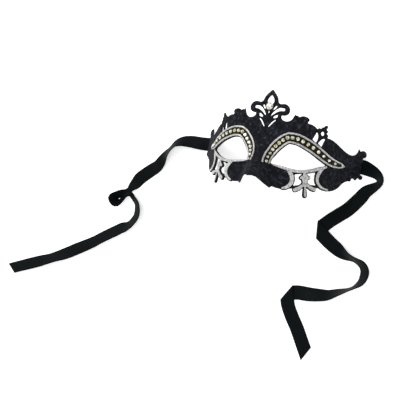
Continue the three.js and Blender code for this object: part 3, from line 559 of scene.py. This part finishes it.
# %% [markdown]
# Each stone of the CAD is a small faceted solid that stands on the curved plate. Its flat
# back is its widest face, so the direction in which most of the back's area looks tells how
# the stone is turned. A copy of the model is sized and turned to match, and replaces it.

# %% Setting the stones
SAME_WAY = 0.999
BACK_SHARE = 0.1


def seat_of(node):
    """Where a CAD stone's back is, which way it faces, its width and its height."""
    mesh = node.data
    back = max(mesh.polygons, key=lambda face: sum(
        other.area for other in mesh.polygons if other.normal.dot(face.normal) > SAME_WAY))
    facing = -back.normal.normalized()
    corners = [vertex.co.copy() for vertex in mesh.vertices]
    heights = [corner.dot(facing) for corner in corners]
    low, high = min(heights), max(heights)
    base = [corner for corner, height in zip(corners, heights) if height - low < (high - low) * BACK_SHARE]
    middle = sum(base, Vector()) / len(base)
    widest = max((corner - middle).length for corner in base) * 2
    return middle, facing, widest, high - low


def set_stone(node_name):
    """A copy of the modelled stone in the place of one CAD stone."""
    middle, facing, wide, tall = seat_of(nodes[node_name])
    stone = bpy.data.objects.new(f"cut_{node_name}", stone_model.data.copy())
    bpy.context.collection.objects.link(stone)
    turn = facing.to_track_quat("Z", "Y").to_matrix().to_4x4()
    stone.data.transform(Matrix.Translation(middle) @ turn @ Matrix.Diagonal((wide, wide, tall, 1)))
    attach(stone, "root")
    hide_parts(node_name)
    return stone


brow_stones = {
    name: set_stone(name) for name in sorted(nodes) if name.startswith("brow_stone")}
crest_stone = set_stone("crest_stone")
bpy.data.objects.remove(stone_model)
print("Stones set:", len(brow_stones) + 1)


# %% [markdown]
# Materials are written as formulas. A Wire wraps one output socket, and adding or
# multiplying wires adds Math nodes. Every other node comes from Recipe.node, which sets the
# node's own settings first and then its sockets.

# %% Formulas for shaders
class Wire:
    """An output socket on which sums and products can be written."""

    def __init__(self, recipe, socket):
        self.recipe = recipe
        self.socket = socket

    def math(self, operation, first, second):
        return self.recipe.node("ShaderNodeMath", {"operation": operation}, {0: first, 1: second})

    def __add__(self, other):
        return self.math("ADD", self, other)

    def __radd__(self, other):
        return self.math("ADD", other, self)

    def __rsub__(self, other):
        return self.math("SUBTRACT", other, self)

    def __mul__(self, other):
        return self.math("MULTIPLY", self, other)

    def __rmul__(self, other):
        return self.math("MULTIPLY", other, self)

    def __gt__(self, other):
        return self.math("GREATER_THAN", self, other)


class Recipe:
    """A material that is being made."""

    def __init__(self, name):
        self.material = bpy.data.materials.new(name)
        self.material.use_nodes = True
        self.tree = self.material.node_tree
        self.shader = self.tree.nodes["Principled BSDF"]

    def node(self, kind, settings, inputs, output=0):
        """Adds a node and returns one of its outputs."""
        node = self.tree.nodes.new(kind)
        for key, value in settings.items():
            if key == "stops":
                self.set_stops(node.color_ramp, value)
            else:
                setattr(node, key, value)
        self.fill(node, inputs)
        return Wire(self, node.outputs[output])

    def set_stops(self, ramp, stops):
        while len(ramp.elements) < len(stops):
            ramp.elements.new(1.0)
        for element, (place, color) in zip(ramp.elements, stops):
            element.position = place
            element.color = (*color, 1.0)

    def fill(self, node, inputs):
        for key, value in inputs.items():
            if isinstance(value, Wire):
                self.tree.links.new(value.socket, node.inputs[key])
            else:
                node.inputs[key].default_value = value

    def finish(self, **sockets):
        """Fills the shader's sockets. Names have _ for a space."""
        self.fill(self.shader, {key.replace("_", " "): value for key, value in sockets.items()})
        return self.material

    def place(self):
        return self.node("ShaderNodeTexCoord", {}, {}, "Object")

    def noise(self, scale, detail, roughness, vector=None):
        where = vector or self.place()
        return self.node("ShaderNodeTexNoise", {}, {
            "Vector": where, "Scale": scale, "Detail": detail, "Roughness": roughness}, "Fac")

    def cells(self, scale):
        """A random colour for each grain."""
        return self.node("ShaderNodeTexVoronoi", {"feature": "F1"}, {
            "Vector": self.place(), "Scale": scale, "Randomness": 1.0}, "Color")

    def part(self, color, channel):
        return self.node("ShaderNodeSeparateColor", {}, {"Color": color}, channel)

    def mix(self, share, first, second):
        return self.node("ShaderNodeMix", {"data_type": "RGBA"}, {0: share, 6: first, 7: second}, 2)

    def ramp(self, value, stops):
        return self.node("ShaderNodeValToRGB", {"stops": stops}, {"Fac": value})

    def bump(self, height, strength, distance, normal=None):
        inputs = {"Height": height, "Strength": strength, "Distance": distance}
        if normal:
            inputs["Normal"] = normal
        return self.node("ShaderNodeBump", {}, inputs)


def rgb(red, green, blue):
    """A colour given as it looks on screen, from 0 to 255, as linear light."""
    def linear(value):
        share = value / 255
        return share / 12.92 if share <= 0.04045 else ((share + 0.055) / 1.055) ** 2.4
    return (linear(red), linear(green), linear(blue))


def dress(pieces, material):
    for piece in pieces:
        piece.data.materials.clear()
        piece.data.materials.append(material)


# %% [markdown]
# Flock is a felt of very short fibres. It is dark and quite matt, but it is never one flat
# black: the fibres lie in patches that catch the light differently, and their tips give a
# weak sheen at grazing angles. A slow noise and distorted rings make patches that curl like
# brocade, and a fine noise makes the nap.

# %% Flocked plate
CLOUDS = 300
CURLS = 62
CURL_SHARE = 0.14
NAP = 2600


def make_flock():
    recipe = Recipe("black_flock")
    clouds = recipe.noise(CLOUDS, 5, 0.65)
    curls = recipe.node("ShaderNodeTexWave", {"wave_type": "RINGS"}, {
        "Vector": recipe.place(), "Scale": CURLS, "Distortion": 16.0,
        "Detail": 3.0, "Detail Scale": 1.4}, "Fac")
    patches = clouds * (1 - CURL_SHARE) + curls * CURL_SHARE
    nap = recipe.noise(NAP, 3, 0.6)
    tone = recipe.ramp(patches, [
        (0.34, rgb(4, 5, 8)),
        (0.48, rgb(13, 15, 19)),
        (0.59, rgb(28, 31, 36)),
        (0.72, rgb(58, 61, 67)),
    ])
    fibre = recipe.mix(nap * 0.3, tone, (*rgb(40, 38, 46), 1))
    relief = recipe.bump(patches, 0.35, 0.0006)
    surface = recipe.bump(nap, 0.5, 0.00025, relief)
    return recipe.finish(
        Base_Color=fibre, Roughness=0.78 + 0.2 * nap, Normal=surface,
        Specular_IOR_Level=0.08, Sheen_Weight=0.02, Sheen_Roughness=0.5)


flock = make_flock()
dress([plate], flock)
print("Flock nodes:", len(flock.node_tree.nodes))


# %% [markdown]
# Glitter paste is clear glue full of tiny mirrors that lie every way. A Voronoi texture
# gives each grain its own random number, which sets how it is tilted and how bright its
# colour is painted: that brightness is a painted glint of the tilted mirror.

# %% Silver glitter
GRAINS = 2600
CLUMPS = 260


def make_glitter():
    recipe = Recipe("silver_glitter")
    grain = recipe.cells(GRAINS)
    # Each grain's random brightness is a painted glint; its tilt is a real bump.
    painted_grain_glint = recipe.part(grain, "Red")
    tilt = recipe.part(grain, "Green")
    clump = recipe.noise(CLUMPS, 2, 0.5)
    tone = recipe.ramp(painted_grain_glint * 0.6 + clump * 0.4, [
        (0.20, rgb(88, 88, 90)),
        (0.42, rgb(158, 157, 157)),
        (0.62, rgb(196, 196, 194)),
        (0.85, rgb(236, 236, 234)),
    ])
    surface = recipe.bump(tilt, 0.35, 0.0002)
    return recipe.finish(
        Base_Color=tone, Metallic=0.35, Roughness=0.32 + 0.3 * tilt, Normal=surface, Coat_Weight=0.3)


glitter = make_glitter()
dress(silver_lines, glitter)


# %% [markdown]
# The band under the stones is dark, nearly black, with old-gold glitter in it. Only some
# grains are gold, so a threshold on the random number picks them out.

# %% Gold bed
BED_GRAINS = 2100
GOLD_ABOVE = 0.88


def make_gold_bed():
    recipe = Recipe("dark_gold_bed")
    grain = recipe.cells(BED_GRAINS)
    pick = recipe.part(grain, "Blue")
    tilt = recipe.part(grain, "Green")
    flecks = pick > GOLD_ABOVE
    tone = recipe.mix(flecks, (*rgb(9, 9, 3), 1), (*rgb(70, 64, 24), 1))
    surface = recipe.bump(tilt, 0.4, 0.0002)
    return recipe.finish(
        Base_Color=tone, Metallic=flecks * 0.6, Roughness=0.7 - 0.3 * tilt, Normal=surface,
        Specular_IOR_Level=0.12)


gold_bed = make_gold_bed()
dress(beds, gold_bed)


# %% [markdown]
# A foil-backed crystal throws light back from behind, so it looks bright from everywhere,
# whiter in some facets than in others. That is closer to a pale shiny body with a clear
# coat than to real glass, which would show the dark bed, so the foil's light is painted:
# the pale body colour is a painted reflection, and a fine noise paints whiter glints over
# it. Two stones of each row have a yellower foil.

# %% Stones
WARM_STONES = [f"brow_stone_{place}" for place in ("right_05", "right_06", "left_08", "left_10")]
# Sizes of the painted glints on the brow stones and on the crest stone
BROW_GLINT_SCALE = 620
CREST_GLINT_SCALE = 420


def make_crystal(name, dark, pale, scale):
    recipe = Recipe(name)
    # The noise paints whiter glints on the pale body, which is itself a painted reflection of the foil.
    facets = recipe.noise(scale, 2, 0.5)
    tone = recipe.ramp(facets, [(0.38, dark), (0.50, pale), (0.64, rgb(255, 255, 252))])
    return recipe.finish(
        Base_Color=tone, Metallic=0.25, Roughness=0.12, Coat_Weight=1.0, Coat_Roughness=0.03)


clear_crystal = make_crystal("clear_crystal", rgb(120, 114, 84), rgb(222, 218, 192), BROW_GLINT_SCALE)
warm_crystal = make_crystal("warm_crystal", rgb(112, 104, 48), rgb(210, 202, 138), BROW_GLINT_SCALE)
pearl_crystal = make_crystal("pearl_crystal", rgb(150, 144, 136), rgb(226, 222, 212), CREST_GLINT_SCALE)
for name, stone in brow_stones.items():
    dress([stone], warm_crystal if name in WARM_STONES else clear_crystal)
dress([crest_stone], pearl_crystal)


# %% [markdown]
# Satin ribbon is woven with its shiny threads along its length, and its two edges are a
# narrow plain selvedge. The UV map gives the distance along and across in metres, so the
# threads are stripes across the width, and the selvedge is where the distance from the
# middle is nearly half the width.

# %% Satin ribbon
THREADS = 5200
SELVEDGE = 0.0009
SLUBS_ALONG = 40
SLUBS_ACROSS = 900


def make_satin():
    recipe = Recipe("black_satin")
    uv = recipe.node("ShaderNodeUVMap", {"uv_map": "weave"}, {})
    along = recipe.node("ShaderNodeSeparateXYZ", {}, {"Vector": uv}, "X")
    across = recipe.node("ShaderNodeSeparateXYZ", {}, {"Vector": uv}, "Y")
    away = recipe.node("ShaderNodeMath", {"operation": "ABSOLUTE"}, {0: across})
    selvedge = away > RIBBON_WIDE / 2 - SELVEDGE
    warp = recipe.node("ShaderNodeMath", {"operation": "SINE"}, {0: across * THREADS})
    weft = recipe.node("ShaderNodeMath", {"operation": "SINE"}, {0: along * THREADS})
    stretched = recipe.node("ShaderNodeCombineXYZ", {}, {
        "X": along * SLUBS_ALONG, "Y": across * SLUBS_ACROSS})
    slubs = recipe.noise(1.0, 3, 0.6, stretched)
    tone = recipe.mix(slubs, (*rgb(1, 4, 5), 1), (*rgb(9, 15, 17), 1))
    threads = warp + weft * (0.15 + selvedge * 0.8)
    surface = recipe.bump(threads, 0.25, 0.00008)
    return recipe.finish(
        Base_Color=tone, Roughness=0.45 + 0.2 * slubs + 0.25 * selvedge, Normal=surface,
        Specular_IOR_Level=0.05)


satin = make_satin()
dress(ribbons, satin)


# %% [markdown]
# The photo shows the mask on plain white under light from all round, with hardly a shadow.
# A wide pale floor that glows a little, as a light table does, a bright even world and
# three large soft lamps give the same look. The Standard view shows linear white as white,
# where the default one would turn it grey.

# %% Floor and light
FLOOR_SIZE = 6.0
FLOOR_GLOW = 0.45
WORLD_LIGHT = 0.62

# Columns: name, place, width in metres, power in watts
LAMPS = [
    ("key_lamp", (-1.0, 0.7, 1.5), 1.2, 24),
    ("fill_lamp", (1.1, -0.4, 1.5), 1.4, 4),
    ("front_lamp", (0.0, -1.2, 1.3), 1.2, 7),
]
LAMPS_AIM = Vector((0, -0.05, 0))


def add_floor():
    bpy.ops.object.select_all(action="DESELECT")
    bpy.ops.mesh.primitive_plane_add(size=FLOOR_SIZE, location=(0, 0, 0))
    floor = bpy.context.object
    floor.name = "floor"
    recipe = Recipe("white_floor")
    dress([floor], recipe.finish(
        Base_Color=(0.93, 0.93, 0.93, 1), Roughness=0.9,
        Emission_Color=(1, 1, 1, 1), Emission_Strength=FLOOR_GLOW))


def add_soft_lamp(name, place, size, power):
    bpy.ops.object.light_add(type="AREA", location=place)
    lamp = bpy.context.object
    lamp.name = name
    lamp.data.shape = "DISK"
    lamp.data.size = size
    lamp.data.energy = power
    lamp.rotation_euler = (LAMPS_AIM - Vector(place)).to_track_quat("-Z", "Y").to_euler()


def light_world(strength):
    world = bpy.data.worlds.new("white_room")
    world.use_nodes = True
    background = world.node_tree.nodes["Background"]
    background.inputs["Color"].default_value = (1, 1, 1, 1)
    background.inputs["Strength"].default_value = strength
    bpy.context.scene.world = world


bpy.context.scene.view_settings.view_transform = "Standard"
add_floor()
light_world(WORLD_LIGHT)
for lamp_row in LAMPS:
    add_soft_lamp(*lamp_row)
print("Lamps:", len(LAMPS))
